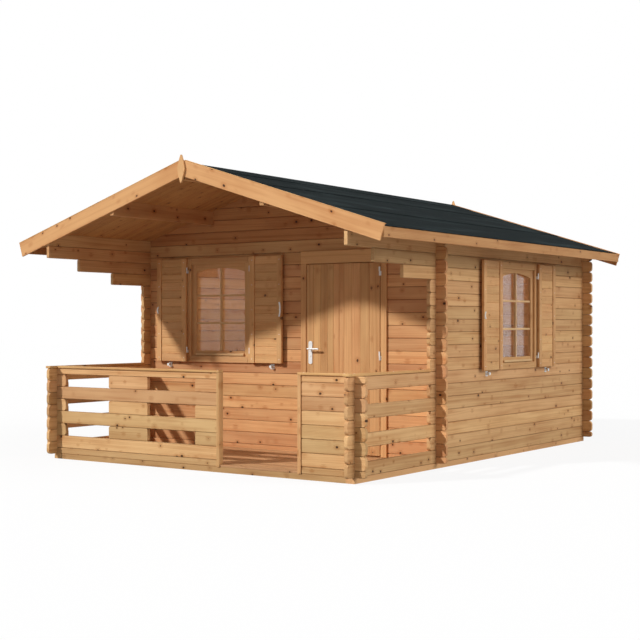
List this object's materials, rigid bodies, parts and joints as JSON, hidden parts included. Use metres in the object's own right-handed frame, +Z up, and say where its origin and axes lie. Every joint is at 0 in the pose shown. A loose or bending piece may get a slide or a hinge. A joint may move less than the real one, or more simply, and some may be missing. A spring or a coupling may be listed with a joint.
{
  "type": "log cabin",
  "caption": "Garden log cabin of notched planed logs with a railed terrace under a felt gable roof, a plank door and shuttered windows.",
  "frame": {"origin": "middle of the roof's outline, at ground level", "axes": "+Z up, +X to the right and +Y to the back as seen from the terrace, which faces -Y"},
  "size_m": [4.31, 5.0902, 2.8664],
  "materials": {
    "spruce_logs": "matte",
    "trim_boards": "matte",
    "roof_timber": "matte",
    "floor_boards": "matte",
    "treated_beams": "matte",
    "door_timber": "matte",
    "window_timber": "matte",
    "shutter_boards": "matte",
    "roof_felt": "matte",
    "window_glass": "gloss",
    "zinc_fittings": "satin"
  },
  "bodies": {
    "cabin": {"cabin_floor": "floor_boards", "door_frame": "door_timber", "door_hinge_pins": "zinc_fittings", "eave_boards": "trim_boards", "foundation_beams": "treated_beams", "front_finial": "trim_boards", "front_gable": "spruce_logs", "front_left_bargeboard": "trim_boards", "front_railing_left": "spruce_logs", "front_railing_right": "spruce_logs", "front_right_bargeboard": "trim_boards", "front_wall": "spruce_logs", "front_window_frame": "window_timber", "front_window_glass": "window_glass", "front_window_sash": "window_timber", "left_roof_boards": "roof_timber", "left_roof_felt": "roof_felt", "left_wall": "spruce_logs", "purlins": "roof_timber", "railing_caps": "trim_boards", "railing_posts": "trim_boards", "rear_finial": "trim_boards", "rear_gable": "spruce_logs", "rear_left_bargeboard": "trim_boards", "rear_right_bargeboard": "trim_boards", "rear_wall": "spruce_logs", "right_roof_boards": "roof_timber", "right_roof_felt": "roof_felt", "right_wall": "spruce_logs", "shutter_hinge_pins": "zinc_fittings", "shutter_holdbacks": "zinc_fittings", "side_window_frame": "window_timber", "side_window_glass": "window_glass", "side_window_sash": "window_timber", "terrace_floor": "floor_boards"},
    "door": {"door_leaf": "door_timber", "door_hinges": "zinc_fittings", "door_handle": "zinc_fittings"},
    "front_left_shutter": {"front_left_shutter": "shutter_boards", "front_left_shutter_fittings": "zinc_fittings"},
    "front_right_shutter": {"front_right_shutter": "shutter_boards", "front_right_shutter_fittings": "zinc_fittings"},
    "side_front_shutter": {"side_front_shutter": "shutter_boards", "side_front_shutter_fittings": "zinc_fittings"},
    "side_rear_shutter": {"side_rear_shutter": "shutter_boards", "side_rear_shutter_fittings": "zinc_fittings"}
  },
  "joints": [
    {"name": "door_hinge", "type": "hinge", "parent": "cabin", "child": "door", "pos_m": [1.1915, -1.064, 1], "axis": [0, 0, 1], "range_deg": [0, 110]},
    {"name": "front_left_shutter_hinge", "type": "hinge", "parent": "cabin", "child": "front_left_shutter", "pos_m": [-1.198, -1.0785, 1.48], "axis": [0, 0, 1], "range_deg": [0, 180]},
    {"name": "front_right_shutter_hinge", "type": "hinge", "parent": "cabin", "child": "front_right_shutter", "pos_m": [-0.362, -1.0785, 1.48], "axis": [0, 0, -1], "range_deg": [0, 180]},
    {"name": "side_front_shutter_hinge", "type": "hinge", "parent": "cabin", "child": "side_front_shutter", "pos_m": [1.827, 0.2335, 1.42], "axis": [0, 0, 1], "range_deg": [0, 180]},
    {"name": "side_rear_shutter_hinge", "type": "hinge", "parent": "cabin", "child": "side_rear_shutter", "pos_m": [1.827, 1.0695, 1.42], "axis": [0, 0, -1], "range_deg": [0, 180]}
  ]
}
